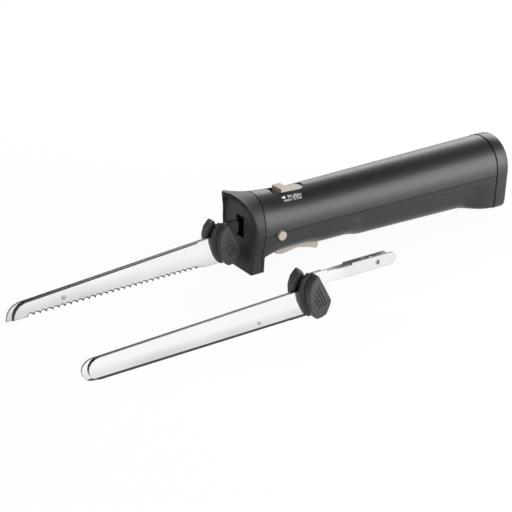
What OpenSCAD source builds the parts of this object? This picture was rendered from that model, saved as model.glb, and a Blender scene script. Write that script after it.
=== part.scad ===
// Cordless electric carving knife: a moulded handle with a guard, a trigger,
// a safety slider and two release buttons. A motor, worm and wheel drive two
// carriers that saw a fitted pair of toothed blades. A second, plain-edged
// pair of blades stands beside it.
// X runs from the blade tips (minus) to the end cap (plus), Z is up, and the
// origin is the centre of the flat foot under the guard.

/* [Handle] */
// Length of the handle behind the battery
tail_len = 34; // [30:1:50]
// Width of the handle at the guard
guard_w = 51.6; // [50:0.2:56]
// Width of the handle at the guard if it had no flare
waist_w = 45.4; // [45:0.2:49]
// Width of the handle at the end cap
rear_w = 55.6; // [50:0.2:60]
// Height of the handle at the guard
guard_h = 62.8; // [60:0.2:66]
// Height of the handle at the guard if it had no flare
waist_h = 58.4; // [57:0.2:60]
// Height of the handle at the end cap
rear_h = 66.8; // [63:0.2:70]
// Height of the joint between the shells, at the guard
parting_front_h = 31.2; // [30:0.2:34]
// Height of the joint between the shells, at the end cap
parting_rear_h = 34.2; // [32:0.2:38]
// Gap under the neck between the foot and the trigger
neck_lift = 9.4; // [8:0.2:10]
// Gap under the neck behind the trigger
throat_lift = 6.4; // [5:0.2:7.6]
// Gap under the grip
grip_lift = 4; // [3:0.2:5]
// Depth of the scoop in each lower flank of the grip
grip_scoop = 3.2; // [2:0.1:4]
// Depth of the step below the joint line on the neck
neck_step = 1.2; // [0.6:0.1:1.6]
// Wall of the housing mouldings
wall = 2.2; // [1.8:0.1:2.5]
// Length of the end cap
cap_len = 16.5; // [11:0.5:18]
// Edge round of the end cap
cap_round = 5; // [2:0.5:6]

/* [Guard] */
// Length of the flat foot under the guard
foot_len = 10; // [8:0.5:14]
// Width of the foot
foot_w = 48; // [40:0.5:50]
// How far the hooded lip rises above the guard joint
hood_rise = 5.2; // [3:0.2:8]
// How far the hood reaches forward of the lip at its sides
hood_reach = 14.5; // [9:0.5:18]
// Depth of the dished face behind the lip at its sides
dish_depth = 1.8; // [1:0.1:3]
// Width of the blade slot
slot_w = 11.3; // [11:0.1:13]
// Height of the blade slot
slot_h = 19; // [16:0.1:21]

/* [Blades] */
// Length of a toothed blade from its tip to the front of the guard foot
blade_reach = 198; // [170:1:230]
// Height of a toothed blade at the grips
blade_h = 24.4; // [22:0.2:27]
// Height of a toothed blade at its tip
blade_tip_h = 12.6; // [10:0.2:16]
// Thickness of each blade
blade_t = 1.2; // [1:0.05:1.3]
// Spacing of the scallops along the edge
tooth_pitch = 5; // [4:0.25:7]
// Depth of the scallops
tooth_depth = 2.6; // [1.5:0.1:3]
// Height of the tangs
tang_h = 10.4; // [9:0.1:11]
// Distance between the middles of the two tangs
tang_gap = 5; // [4.8:0.05:5.2]
// Height of a plain blade at the grips
plain_h = 22.6; // [20:0.2:24]
// Height of a plain blade near its round tip
plain_tip_h = 17; // [15:0.2:19]
// Distance of the second pair from the fitted pair
spare_offset = 104.5; // [80:0.5:140]

/* [Grips] */
// Height of a blade grip
grip_h = 36; // [32:0.5:38]
// Length of a blade grip along the blade
grip_len = 21; // [18:0.5:24]
// Distance that a grip stands out from its blade
grip_out = 10; // [9:0.5:14]

/* [Controls] */
// Length of the trigger
trigger_len = 46; // [42:0.5:50]
// Width of the trigger
trigger_w = 17; // [14:0.5:19]
// Length of the safety slider
slider_len = 25.5; // [23:0.5:28]
// Width of the safety slider
slider_w = 14; // [11:0.5:15]
// Travel of the safety slider
slider_travel = 8; // [6:0.5:9]
// Diameter of the release buttons
button_d = 8.6; // [7.5:0.1:9.4]
// Travel of the release buttons
button_travel = 3; // [2:0.1:3.2]

/* [Drive] */
// Outer radius of the motor can
motor_r = 14.5; // [13:0.1:15]
// Length of the motor can
motor_len = 51; // [46:0.5:52]
// Pitch radius of the worm
worm_r = 4; // [3.8:0.1:4.2]
// Module of the worm wheel teeth
tooth_module = 1.5; // [1.4:0.05:1.55]
// Number of teeth of the worm wheel
wheel_teeth = 16; // [15:1:17]
// Offset of the eccentrics, half the stroke of each blade
crank_r = 3.6; // [3:0.1:3.8]
// Radius of the battery cells
cell_r = 9.1; // [8:0.1:9.2]
// Length of the battery cells
cell_len = 65; // [60:0.5:67]

/* [Hidden] */
$fn = 48;

black = [0.16, 0.16, 0.17];
dark = [0.22, 0.22, 0.23];
beige = [0.72, 0.67, 0.6];
steel = [0.8, 0.8, 0.82];
metal = [0.62, 0.62, 0.64];
nylon = [0.85, 0.84, 0.78];
green = [0.1, 0.35, 0.2];

// One overrun serves all cuts, and joint_gap is the fine gap between mouldings
over = 1;
joint_gap = 0.3;
joint_bevel = 0.4;
slide_gap = 0.4;
pin_gap = 0.05;

// Shaping helpers: a clamped share, a smooth step, a mix and a mirrored pair
function clamp(t) = max(0, min(1, t));
function ease(t) = let(c = clamp(t)) c * c * (3 - 2 * c);
function ramp(x, x0, x1) = ease((x - x0) / (x1 - x0));
function mix(a, b, t) = a + (b - a) * t;
function turned(v) = [for (i = [len(v) - 1:-1:0]) v[i]];

// Skin over a row of closed rings that have the same number of points. The
// rings of a channel run along its outer side and back along its inner side
module loft(rings, channel = false) {
    n = len(rings[0]);
    m = len(rings);
    end = (m - 1) * n;
    sides = [for (j = [0:m - 2], i = [0:n - 1])
        let (k = (i + 1) % n, a = j * n + i, b = j * n + k)
        each [[a, b + n, b], [a, a + n, b + n]]];
    strip = [for (i = [0:n / 2 - 2]) each [[i, i + 1, n - 2 - i], [i, n - 2 - i, n - 1 - i]]];
    first = channel ? strip : [[for (i = [0:n - 1]) i]];
    last = [for (f = first) [for (i = turned(f)) end + i]];
    polyhedron([for (r = rings) each r], concat(sides, first, last), convexity = 8);
}

// Ring in the plane across X through a list of [y, z] points
function at_x(x, outline) = [for (p = outline) [x, p[0], p[1]]];

// Places along X, from the wheel back to the end cap, set by what lies inside
wheel_x = 90;
frame_front = 20;
frame_back = 17;
motor_plate_t = 3;
frame_x = wheel_x - frame_front;
frame_end = wheel_x + frame_back;
motor_x = frame_end + motor_plate_t;
drive_gap = 12;
cell_x = motor_x + motor_len + drive_gap;
seam_x = foot_len / 2;
handle_len = cell_x + cell_len + tail_len - seam_x;

// Handle form along X
hood_h = guard_h + hood_rise;
seam_lean = 0.09;
cap_x = seam_x + handle_len;
flare_len = 0.2 * handle_len;
lean_len = 0.16 * handle_len;
function along(x) = (x - seam_x) / handle_len;
function flare(x) = pow(1 - clamp((x - seam_x) / flare_len), 1.4);
function half_w(x) = mix(waist_w, rear_w, along(x)) / 2 + (guard_w - waist_w) / 2 * flare(x);
function top_z(x) = mix(waist_h, rear_h, along(x)) + (guard_h - waist_h) * flare(x);
function parting_z(x) = mix(parting_front_h, parting_rear_h, along(x));

// Shares of the handle length at which the lower shell changes its form
neck_shares = [0, 0.03];
throat_shares = [0.19, 0.26];
grip_shares = [0.35, 0.42];
bulge_shares = [0.86, 1];
scoop_end_shares = [0.88, 0.985];
grip_fall = 0.35;
function at_share(s) = seam_x + s * handle_len;
function from(shares, x) = ramp(x, at_share(shares[0]), at_share(shares[1]));
function grip_z(x) = grip_lift * (1 - grip_fall * clamp((along(x) - 0.45) / 0.4));
function bottom_z(x) = mix(mix(mix(neck_lift, throat_lift, from(throat_shares, x)),
    grip_z(x), from(grip_shares, x)), 0, from(bulge_shares, x));
function inset(x) = mix(mix(mix(0, neck_step, from(neck_shares, x)),
    grip_scoop, from(grip_shares, x)), 0, from(scoop_end_shares, x));
function squareness(x) = mix(mix(2.4, 3, from(grip_shares, x)), 13, from(bulge_shares, x));

// The crease starts low behind the foot and sweeps up to just below the joint
crease_drop = 5.5;
crease_start_drop = 16.5;
crease_h = 2.2;
crease_shares = [-0.012, 0.105];
function crease_z(x) = parting_z(x) - mix(crease_start_drop, crease_drop, from(crease_shares, x));

// Column of the guard between its foot and its round top, half width at z
foot_top_share = 0.2;
foot_waist = 0.4;
function column_w(a, z, mid) = let (zf = foot_top_share * guard_h)
    z > zf ? mix(foot_w / 2 - foot_waist, a, ease((z - zf) / (mid - zf)))
        : mix(foot_w / 2, foot_w / 2 - foot_waist, z / zf);

// Near the guard the shell takes the width of the column
function tuck(x, z) = (guard_w / 2 - column_w(guard_w / 2, min(z, parting_front_h), parting_front_h))
    * (1 - from(crease_shares, x));
function low_w(x) = half_w(x) - inset(x) - tuck(x, crease_z(x));

// Outlines of the handle, thinned all round by d, from the far side (+y) round
upper_steps = 22;
lower_steps = 9;
function upper_outline(x, d, steps = upper_steps) = let (z = parting_z(x) + joint_gap / 2)
    [for (i = [0:steps]) let (t = 180 * i / steps)
        [(half_w(x) - d) * cos(t), z + (top_z(x) - d - z) * sin(t)]];
function lower_half(x, d, steps = lower_steps) =
    let (a = half_w(x) - d, n = squareness(x), zc = crease_z(x), zs = zc - crease_h,
        zb = bottom_z(x) + d, zp = parting_z(x) - joint_gap / 2)
    concat([[a - joint_bevel, zp]],
        [for (u = [0, 0.35, 0.7, 1]) let (z = mix(zp - joint_bevel, zc, u))
            [a - 0.1 * inset(x) * u - tuck(x, z), z]],
        [[low_w(x) - d, zs]],
        [for (k = [1:steps]) let (t = 90 * k / steps)
            [(low_w(x) - d) * pow(cos(t), 2 / n), zs - (zs - zb) * pow(sin(t), 2 / n)]]);
function mirrored(v) = [for (p = turned(v)) if (p[0] > 0) [-p[0], p[1]]];
function lower_outline(x, d, steps = lower_steps) =
    let (h = lower_half(x, d, steps)) concat(h, mirrored(h));
function full_outline(x, d) =
    concat(upper_outline(x, d), [for (p = turned(lower_outline(x, d)))
        if (p[1] < parting_z(x) - 3 * joint_gap) p]);

// Heights of the lower and upper skin at a distance y from the middle
function floor_z(x, y) = let (a = low_w(x), n = squareness(x),
    zs = crease_z(x) - crease_h, zb = bottom_z(x))
    zs - (zs - zb) * pow(1 - pow(min(abs(y) / a, 1), n), 1 / n);
function roof_z(x, y) = parting_z(x)
    + (top_z(x) - parting_z(x)) * sqrt(1 - pow(min(abs(y) / half_w(x), 1), 2));

// Lean of the guard joint, which fades along the neck
function leaned(x, ring) = let (k = seam_lean * pow(1 - clamp((x - seam_x) / lean_len), 2))
    [for (p = ring) [x + k * p[2], p[1], p[2]]];

// Guard outline: a round top on a waisted foot column
guard_mid_share = 0.59;
guard_top_steps = 10;
column_shares = [0.86, 0.72, 0.58, 0.45, 0.33, 0.2, 0.1, 0];
function guard_half(a, top, d, mid) =
    concat([for (i = [0:guard_top_steps]) let (t = 90 - 90 * i / guard_top_steps)
        [(a - d) * cos(t), mid + (top - d - mid) * sin(t)]],
        [for (s = column_shares) let (z = s * mid)
            [column_w(a, z, mid) - d, max(z, d)]]);
function both_sides(h) = concat(h, [for (p = turned(h)) if (p[0] > pin_gap / 10) [-p[0], p[1]]]);
guard_mid = guard_mid_share * guard_h;
function guard_outline(a, top, d, mid = parting_front_h) = both_sides(guard_half(a, top, d, mid));

// Guard face: how far the lip stands forward at each point of the outline
lip_x = -2.3;
lip_t = 2.2;
lip_round = 2.4;
foot_front = 0.7;
foot_reach = foot_len / 2 + foot_front;
face_x = lip_x + dish_depth;
tip_blend = 0.16;
function round_at(p) = lip_round * mix(0.25, 1, clamp(p[1] / (foot_top_share * guard_h)));
function lip_at(p) = let (mid = guard_mid, c = abs(p[0]) / (guard_w / 2))
    p[1] > mid ? lip_x - hood_reach * pow(max(0, 1 + tip_blend
        - sqrt(c * c + tip_blend * tip_blend) - tip_blend * c), 0.9)
        : lip_x - (foot_reach + lip_x) * pow((mid - p[1]) / mid, 1.6);
function face_at(z) = face_x - (face_x + foot_reach) * ease(1 - z / (0.62 * guard_mid));

// The flat core of the face round the slot, matched point by point
slot_z = 35.1;
core_edge = 2;
core_w = slot_w + 2 * core_edge;
core_h = slot_h + 2 * core_edge;
function core_point(i, n) = let (half = n / 2, u = i < half ? i / half : (n - i) / half,
    s = i < half ? 1 : -1, t = 90 - 174 * u)
    [s * core_w / 2 * pow(max(0.02, abs(cos(t))), 0.5),
        slot_z + core_h / 2 * sign(sin(t)) * pow(abs(sin(t)), 0.5)];

face_steps = [0.02, 0.06, 0.12, 0.22, 0.36, 0.6, 1];
module guard() {
    body = guard_outline(guard_w / 2, guard_h, 0);
    edge = guard_outline(guard_w / 2, guard_h, joint_bevel);
    inner = guard_outline(guard_w / 2, guard_h, wall);
    function rim(d) = guard_outline(guard_w / 2 + 0.2 * wall, hood_h, d, guard_mid);
    outer = rim(0);
    lip = rim(lip_round);
    n = len(outer);
    back_x = face_x + 1.2 * wall;
    core = [for (i = [0:n - 1]) core_point(i, n)];
    function seam(ring, d) = [for (p = ring) [seam_x + seam_lean * p[1] - d, p[0], p[1]]];
    function hood_sag(t) = t * mix(0.72, 1, t);
    function between(t) = [for (i = [0:n - 1])
        [mix(seam_x + seam_lean * body[i][1] - joint_bevel, lip_at(outer[i]) + round_at(outer[i]), t),
            mix(body[i][0], outer[i][0], hood_sag(t)), mix(body[i][1], outer[i][1], hood_sag(t))]];
    function rounded(a) = [for (i = [0:n - 1]) let (r = round_at(outer[i]), k = (1 - cos(a)) * r / lip_round)
        [lip_at(outer[i]) + r * (1 - sin(a)), mix(outer[i][0], lip[i][0], k),
            mix(outer[i][1], lip[i][1], k)]];
    front = rounded(90);
    function faced(s) = [for (i = [0:n - 1])
        let (y = mix(front[i][1], core[i][0], s), z = mix(front[i][2], core[i][1], s),
            d = 1 - pow(1 - clamp((s - face_steps[0]) / 0.2), 2.5))
        [mix(lip_at(outer[i]), face_at(z), d), y, z]];
    color(dark) difference() {
        loft(concat([at_x(back_x, inner), seam(inner, 0), seam(edge, 0), seam(body, joint_bevel)],
            [for (t = [0.25, 0.5, 0.75, 1]) between(t)], [for (a = [30, 60, 90]) rounded(a)],
            [for (s = face_steps) faced(s)]));
        translate([face_x - over, -slot_w / 2, slot_z - slot_h / 2])
            cube([back_x - face_x + 2 * over, slot_w, slot_h]);
    }
}

// Housing shells
upper_stations = [0, 0.0015, 0.02, 0.045, 0.075, 0.11, 0.155, 0.2, 0.35, 0.55, 0.78, 0.9985, 1];
lower_stations = [0, 0.0015, 0.015, 0.03, 0.045, 0.06, 0.075, 0.09, 0.11, 0.15, 0.19, 0.21, 0.225,
    0.24, 0.26, 0.35, 0.37, 0.385, 0.4, 0.42, 0.5, 0.65, 0.78, 0.85, 0.875, 0.895, 0.915, 0.935,
    0.955, 0.975, 0.9985, 1];
function bevel_at(s) = s == 0 || s == 1 ? joint_bevel : 0;
shell_x = seam_x + joint_gap;
shell_len = handle_len - 2 * joint_gap;
function station(s) = shell_x + s * shell_len;

button_x = 23.8;
button_z = 29.9;
module button_holes() {
    translate([button_x, 0, button_z]) rotate([90, 0, 0])
        cylinder(r = button_d / 2 + slide_gap, h = guard_w + 2 * over, center = true);
}

screw_r = 1.4;
screw_head_r = 2.8;
screw_head_h = 2;
boss_r = 3.2;
boss_y = 12;
front_boss_gap = 9.3;
rear_boss_gap = 14;
boss_places = [seam_x + front_boss_gap, cell_x - 0.65 * drive_gap, cell_x + cell_len + rear_boss_gap];
module at_bosses() {
    for (i = [0:2], s = [-1, 1]) translate([boss_places[i], s * boss_y, 0]) {
        $boss = boss_places[i];
        children();
    }
}

slider_x = 36;
slider_end = slider_x + slider_len;
slider_slot_x = slider_x - slider_travel - slide_gap;
module slider_slot() {
    r = slider_w / 2 + slide_gap;
    translate([0, 0, parting_z(slider_x) + wall]) {
        translate([slider_slot_x, -r, 0]) cube([slider_end - slider_slot_x - slider_w / 2,
            2 * r, guard_h]);
        translate([slider_end - slider_w / 2, 0, 0]) cylinder(r = r, h = guard_h);
    }
}

module upper_housing() {
    color(black) difference() {
        union() {
            loft([for (s = upper_stations) let (x = station(s))
                leaned(x, at_x(x, concat(upper_outline(x, bevel_at(s)), turned(upper_outline(x, wall)))))],
                channel = true);
            at_bosses() {
                z = parting_z($boss) + joint_gap / 2;
                translate([0, 0, z])
                    cylinder(r = boss_r, h = roof_z($boss, boss_y + boss_r) - wall / 4 - z);
            }
            translate([slider_end + 2 * slide_gap + slider_spring_len, -2 * slider_spring_r, slider_low()])
                cube([wall, 4 * slider_spring_r, roof_z(slider_end, 2 * slider_spring_r) - wall / 4 - slider_low()]);
        }
        slider_slot();
        button_holes();
        at_bosses() translate([0, 0, parting_z($boss) - over])
            cylinder(r = screw_r + pin_gap, h = 3 * boss_r + over);
    }
}

trigger_x = 29;
trigger_end = trigger_x + trigger_len;
trigger_nose_r = 4;
pivot_x = trigger_x + trigger_nose_r;
pivot_z = 14;
pin_r = 1.5;
ear_t = 2.2;
swing_room = 2;
module trigger_opening() {
    translate([trigger_x - 2 * slide_gap, -trigger_w / 2 - slide_gap, -over])
        cube([trigger_len + 2 * slide_gap + swing_room, trigger_w + 2 * slide_gap, pivot_z + 2 * over]);
}

foot_strip = 2;
module lower_housing() {
    body = guard_outline(guard_w / 2, guard_h, 0);
    inner = guard_outline(guard_w / 2, guard_h, wall);
    low = [for (p = body) if (p[1] < parting_front_h - over) p];
    low_inner = [for (p = inner) if (p[1] < parting_front_h - over) p];
    strip = concat(turned(low), low_inner);
    function leaning(x, ring) = [for (p = ring) [x + seam_lean * p[1], p[0], p[1]]];
    color(black) difference() {
        union() {
            loft([for (s = lower_stations) let (x = station(s))
                leaned(x, at_x(x, concat(turned(lower_outline(x, bevel_at(s))), lower_outline(x, wall))))],
                channel = true);
            loft([leaning(shell_x, strip), leaning(shell_x + foot_strip, strip)], channel = true);
            at_bosses() {
                z = floor_z($boss, boss_y + boss_r) + wall / 4;
                translate([0, 0, z])
                    cylinder(r = boss_r, h = parting_z($boss) - joint_gap / 2 - z);
            }
            for (s = [-1, 1]) {
                y = trigger_w / 2 + slide_gap + ear_t / 2;
                z = floor_z(pivot_x, y + ear_t / 2) + wall / 4;
                translate([pivot_x, s * y, z + (pivot_z + 2 * pin_r - z) / 2])
                    cube([4 * pin_r, ear_t, pivot_z + 2 * pin_r - z], center = true);
            }
        }
        trigger_opening();
        button_holes();
        translate([pivot_x, 0, pivot_z]) rotate([90, 0, 0])
            cylinder(r = pin_r, h = trigger_w + 4 * ear_t, center = true);
        at_bosses() {
            z = floor_z($boss, boss_y);
            cylinder(r = screw_r + 2 * pin_gap, h = 2 * parting_front_h);
            translate([0, 0, -over]) cylinder(r = screw_head_r + 2 * pin_gap,
                h = z + 2 * screw_head_h + over);
        }
    }
}

// End cap: a cup with a rounded rim, joined by a spigot line
socket_r = 5.5;
socket_bore_r = 2.75;
socket_rim = 1;
socket_z = 24;
module rear_cap() {
    x = cap_x + joint_gap;
    end = x + cap_len;
    proud = 0.4;
    function ring(at, d) = at_x(at, full_outline(cap_x, d - proud));
    color(black) difference() {
        loft(concat([ring(end - wall, wall), ring(x, wall), ring(x, joint_bevel), ring(x + joint_bevel, 0)],
            [for (a = [0:22.5:90]) ring(end - cap_round + cap_round * sin(a),
                cap_round * (1 - cos(a)))]));
        translate([end - 2 * wall, 0, socket_z]) rotate([0, 90, 0])
            cylinder(r = socket_r + pin_gap, h = 3 * wall);
    }
}

// The screws come up from below through the lower bosses into the upper ones
module housing_screws() {
    color(metal) at_bosses() {
        z = floor_z($boss, boss_y) + 2 * screw_head_h;
        translate([0, 0, z - screw_head_h]) cylinder(r = screw_head_r, h = screw_head_h);
        translate([0, 0, z - pin_gap])
            cylinder(r = screw_r, h = parting_z($boss) + 2 * boss_r - z);
    }
}

// Safety slider: a thumb block on a plate with a round end and a foot below
slider_block_len = 8;
slider_plate_h = 1;
slider_block_h = 3;
slider_stem_h = 5;
function slider_low() = roof_z(slider_end, slider_w / 2) - slider_plate_h - slider_stem_h;
module safety_slider() {
    z = slider_low() + slider_stem_h;
    block = [[slider_x, z], [slider_x, z + slider_plate_h + slider_block_h],
        [slider_x + slider_block_len, z + slider_plate_h + slider_block_h],
        [slider_x + 1.5 * slider_block_len, z + slider_plate_h],
        [slider_x + 1.5 * slider_block_len, z]];
    color(beige) {
        translate([0, slider_w / 2, 0]) rotate([90, 0, 0])
            linear_extrude(slider_w) polygon(block);
        translate([0, 0, z - slider_stem_h]) {
            translate([slider_x, -slider_w / 2, 0])
                cube([slider_len - slider_w / 2, slider_w, slider_stem_h + slider_plate_h]);
            translate([slider_end - slider_w / 2, 0, 0])
                cylinder(r = slider_w / 2, h = slider_stem_h + slider_plate_h);
        }
    }
}

// Wound spring: a round wire on a helix along Z
module coil(r, wire_r, h, turns) {
    steps = 9 * turns;
    loft([for (i = [0:steps]) let (a = 360 * turns * i / steps, z = wire_r + (h - 2 * wire_r) * i / steps)
        [for (k = [0:5]) let (q = -60 * k)
            [(r + wire_r * cos(q)) * cos(a), (r + wire_r * cos(q)) * sin(a), z + wire_r * sin(q)]]]);
}

spring_wire_r = 0.35;
slider_spring_r = 1.8;
slider_spring_len = 7;
module slider_spring() {
    color(steel) translate([slider_end + slide_gap, 0, slider_low() + slider_spring_r + spring_wire_r])
        rotate([0, 90, 0]) coil(slider_spring_r, spring_wire_r, slider_spring_len, 5);
}

// Trigger: a hollow lever whose underside is scooped between nose and hook
trigger_low = 3.7;
trigger_hook = 0.2;
trigger_top = 15.4;
trigger_wall = 1.8;
trigger_crest_x = mix(trigger_x, trigger_end, 0.3);
function trigger_top_z(x) = trigger_top - 2 * trigger_wall * clamp((x - trigger_crest_x)
    / (trigger_end - trigger_crest_x));
trigger_profile_shares = [[0.07, 0.55], [0.02, 0.3], [0.05, 0.1], [0.13, 0], [0.22, 0.01],
    [0.35, 0.08], [0.47, 0.18], [0.56, 0.17], [0.66, 0.05], [0.74, 0]];
module trigger() {
    z = function (s) trigger_low + s * (trigger_top - trigger_low);
    outline = concat([for (p = trigger_profile_shares) [trigger_x + p[0] * trigger_len, z(p[1])]],
        [[mix(trigger_x, trigger_end, 0.87), mix(trigger_hook, trigger_low, 0.45)],
        [trigger_end - trigger_wall, trigger_hook], [trigger_end, trigger_hook + trigger_wall],
        [trigger_end, trigger_top_z(trigger_end)], [trigger_crest_x, trigger_top]]);
    color(beige) difference() {
        union() {
            translate([0, trigger_w / 2, 0]) rotate([90, 0, 0])
                linear_extrude(trigger_w) polygon(outline);
            translate([pivot_x, 0, pivot_z]) rotate([90, 0, 0])
                cylinder(r = trigger_nose_r - joint_gap, h = trigger_w, center = true);
        }
        translate([pivot_x, 0, pivot_z]) rotate([90, 0, 0])
            cylinder(r = pin_r + pin_gap, h = trigger_w + 2 * over, center = true);
        for (span = [[pivot_x + trigger_nose_r + trigger_wall, plunger_x - trigger_wall],
            [plunger_x + trigger_wall, trigger_end - 2 * trigger_wall]])
            translate([span[0], -trigger_w / 2 + trigger_wall, trigger_low + 2 * trigger_wall])
                cube([span[1] - span[0], trigger_w - 2 * trigger_wall, trigger_top]);
    }
}

module trigger_pin() {
    color(steel) translate([pivot_x, 0, pivot_z]) rotate([90, 0, 0])
        cylinder(r = pin_r, h = trigger_w + 3.6 * ear_t, center = true);
}

// Gear frame: side plates, rails, a front bush lug, a shelf and a motor plate
motor_z = 23.5;
wheel_r = tooth_module * wheel_teeth / 2;
wheel_z = motor_z + worm_r + wheel_r;
frame_y = 6;
frame_t = 2;
frame_slope = 12;
frame_low = 15.6;
frame_high = 54;
rail_x = 14;
axle_r = 2;
shaft_r = 1.5;
bush_r = 3.4;
lug_t = 3.5;
shelf_x = 38;
carrier_z = 36.3;
carrier_wall = 2;
carrier_h = tang_h + 2 * carrier_wall;
shelf_z = carrier_z - carrier_h / 2 - slide_gap - frame_t;

module gear_frame() {
    plate = [[frame_x, frame_low], [frame_end, frame_low], [frame_end, frame_high],
        [wheel_x - frame_slope, frame_high], [frame_x, carrier_z + carrier_h / 2],
        [rail_x, carrier_z + carrier_h / 2], [rail_x, carrier_z - carrier_h / 2],
        [shelf_x, carrier_z - carrier_h / 2], [shelf_x, shelf_z], [frame_x, shelf_z]];
    lug_h = carrier_z - carrier_h / 2 - slide_gap - frame_low;
    color(metal) difference() {
        union() {
            for (s = [-1, 1]) translate([0, s * (frame_y + frame_t / 2) + frame_t / 2, 0])
                rotate([90, 0, 0]) linear_extrude(frame_t) polygon(plate);
            translate([frame_x, -frame_y - frame_t / 2, frame_low])
                cube([lug_t, 2 * frame_y + frame_t, lug_h]);
            translate([shelf_x, -frame_y - frame_t / 2, shelf_z])
                cube([frame_x - shelf_x + frame_t, 2 * frame_y + frame_t, frame_t]);
            for (z = [carrier_z - carrier_h / 2 - slide_gap - frame_t,
                carrier_z + carrier_h / 2 + slide_gap])
                translate([rail_x, -frame_y - frame_t, z])
                    cube([2 * frame_t, 2 * (frame_y + frame_t), frame_t]);
            for (s = [-1, 1]) translate([rail_x, s * (frame_y + frame_t / 2) - frame_t / 2,
                carrier_z - carrier_h / 2 - slide_gap - frame_t])
                cube([2 * frame_t, frame_t, carrier_h + 2 * (slide_gap + frame_t)]);
            rotate([90, 0, 90]) translate([0, 0, frame_end]) linear_extrude(motor_plate_t)
                intersection() {
                    polygon(full_outline(frame_end, wall + slide_gap));
                    translate([-motor_r - frame_t, frame_low / 2 - over])
                        square([2 * (motor_r + frame_t), frame_high]);
                }
        }
        translate([frame_x - over, 0, motor_z]) rotate([0, 90, 0])
            cylinder(r = bush_r, h = lug_t + 2 * over);
        translate([frame_end - over, 0, motor_z]) rotate([0, 90, 0])
            cylinder(r = 2 * bush_r, h = motor_plate_t + 2 * over);
        translate([wheel_x, 0, wheel_z]) rotate([90, 0, 0])
            cylinder(r = axle_r, h = 3 * (frame_y + frame_t), center = true);
        for (s = [-1, 1]) translate([button_x, s * (frame_y + frame_t / 2), button_z])
            rotate([90, 0, 0]) cylinder(r = stem_r + slide_gap, h = 2 * frame_t, center = true);
    }
}

module worm_bush() {
    color("goldenrod") translate([frame_x - frame_t / 4, 0, motor_z]) rotate([0, 90, 0]) difference() {
        cylinder(r = bush_r - pin_gap, h = lug_t + frame_t / 2);
        translate([0, 0, -over]) cylinder(r = shaft_r + pin_gap, h = lug_t + 3 * over);
    }
}

// Motor: a drawn can with two end walls, and its rotor
can_t = 1.2;
armature_r = 10;
module motor_can() {
    back = motor_len - 2 * can_t;
    color(metal) translate([motor_x, 0, motor_z]) rotate([0, 90, 0]) rotate_extrude()
        polygon([[shaft_r + pin_gap, 0], [2 * bush_r - slide_gap, 0], [2 * bush_r - slide_gap, -can_t],
            [shaft_r + 3 * can_t, -can_t], [shaft_r + pin_gap, -can_t]]);
    color(metal) translate([motor_x, 0, motor_z]) rotate([0, 90, 0]) rotate_extrude()
        polygon([[shaft_r + pin_gap, 0], [motor_r - can_t, 0], [motor_r, can_t],
            [motor_r, motor_len - can_t], [motor_r - can_t, motor_len],
            [2 * bush_r, motor_len], [2 * bush_r, motor_len + can_t], [0, motor_len + can_t],
            [0, motor_len], [shaft_r + pin_gap, motor_len], [shaft_r + pin_gap, back],
            [motor_r - can_t, back], [motor_r - can_t, 2 * can_t], [shaft_r + pin_gap, 2 * can_t]]);
}

worm_len = 19;
module motor_rotor() {
    shaft_x = frame_x - frame_t / 2;
    color(steel) translate([shaft_x, 0, motor_z]) rotate([0, 90, 0])
        cylinder(r = shaft_r, h = motor_x + motor_len - can_t - shaft_x);
    color("peru") translate([motor_x + 4 * can_t, 0, motor_z]) rotate([0, 90, 0]) difference() {
        cylinder(r = armature_r, h = motor_len - 9 * can_t);
        for (a = [0:72:288]) rotate([0, 0, a]) translate([armature_r, 0, -over])
            cylinder(r = can_t, h = motor_len);
    }
}

// Worm: a thread lobe twisted along the shaft
lead = PI * tooth_module;
worm_tip_r = worm_r + 0.9 * tooth_module;
worm_root_r = worm_r - 1.1 * tooth_module;
thread_share = 0.34;
function thread_r(a) = let (d = abs(((a + 540) % 360) - 180))
    mix(worm_tip_r, worm_root_r, clamp((d - 180 * thread_share * 0.45) / (180 * thread_share * 1.1)));
worm_slices = 52;
worm_sides = 15;
module worm() {
    turn = 360 * worm_len / lead;
    function slice(t) = [for (i = [0:worm_sides - 1])
        let (a = 360 * i / worm_sides, q = a + turn * (t - 0.5) + 90)
        [wheel_x + worm_len * (t - 0.5), thread_r(a) * cos(q), motor_z + thread_r(a) * sin(q)]];
    color(nylon) difference() {
        loft([for (j = [0:worm_slices]) slice(j / worm_slices)]);
        translate([wheel_x - worm_len, 0, motor_z]) rotate([0, 90, 0])
            cylinder(r = shaft_r, h = 2 * worm_len);
    }
}

// Worm wheel with an eccentric on each face, half a turn apart
wheel_t = 4.4;
eccentric_wall = 1.4;
eccentric_r = crank_r + axle_r + eccentric_wall;
eccentric_t = 3.1;
crank_angle = 40;
tooth_share = 0.4;
function wheel_point(i, r, s) = let (a = 360 / wheel_teeth * (i + s)) [r * cos(a), r * sin(a)];
module worm_wheel() {
    tip = wheel_r + 0.9 * tooth_module;
    root = wheel_r - 1.15 * tooth_module;
    rim = [for (i = [0:wheel_teeth - 1]) each [wheel_point(i, root, -0.74 * tooth_share),
        wheel_point(i, tip, -0.26 * tooth_share), wheel_point(i, tip, 0.26 * tooth_share),
        wheel_point(i, root, 0.74 * tooth_share)]];
    phase = -90 + 180 / wheel_teeth;
    color(nylon) translate([wheel_x, 0, wheel_z]) rotate([90, 0, 0]) difference() {
        union() {
            rotate([0, 0, phase]) translate([0, 0, -wheel_t / 2]) linear_extrude(wheel_t) polygon(rim);
            for (s = [-1, 1]) translate([s * crank_r * sin(crank_angle), s * crank_r * cos(crank_angle),
                s > 0 ? wheel_t / 2 - pin_gap : -wheel_t / 2 - eccentric_t])
                cylinder(r = eccentric_r, h = eccentric_t + pin_gap);
        }
        cylinder(r = axle_r + pin_gap, h = 2 * (wheel_t + eccentric_t), center = true);
    }
}

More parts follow.
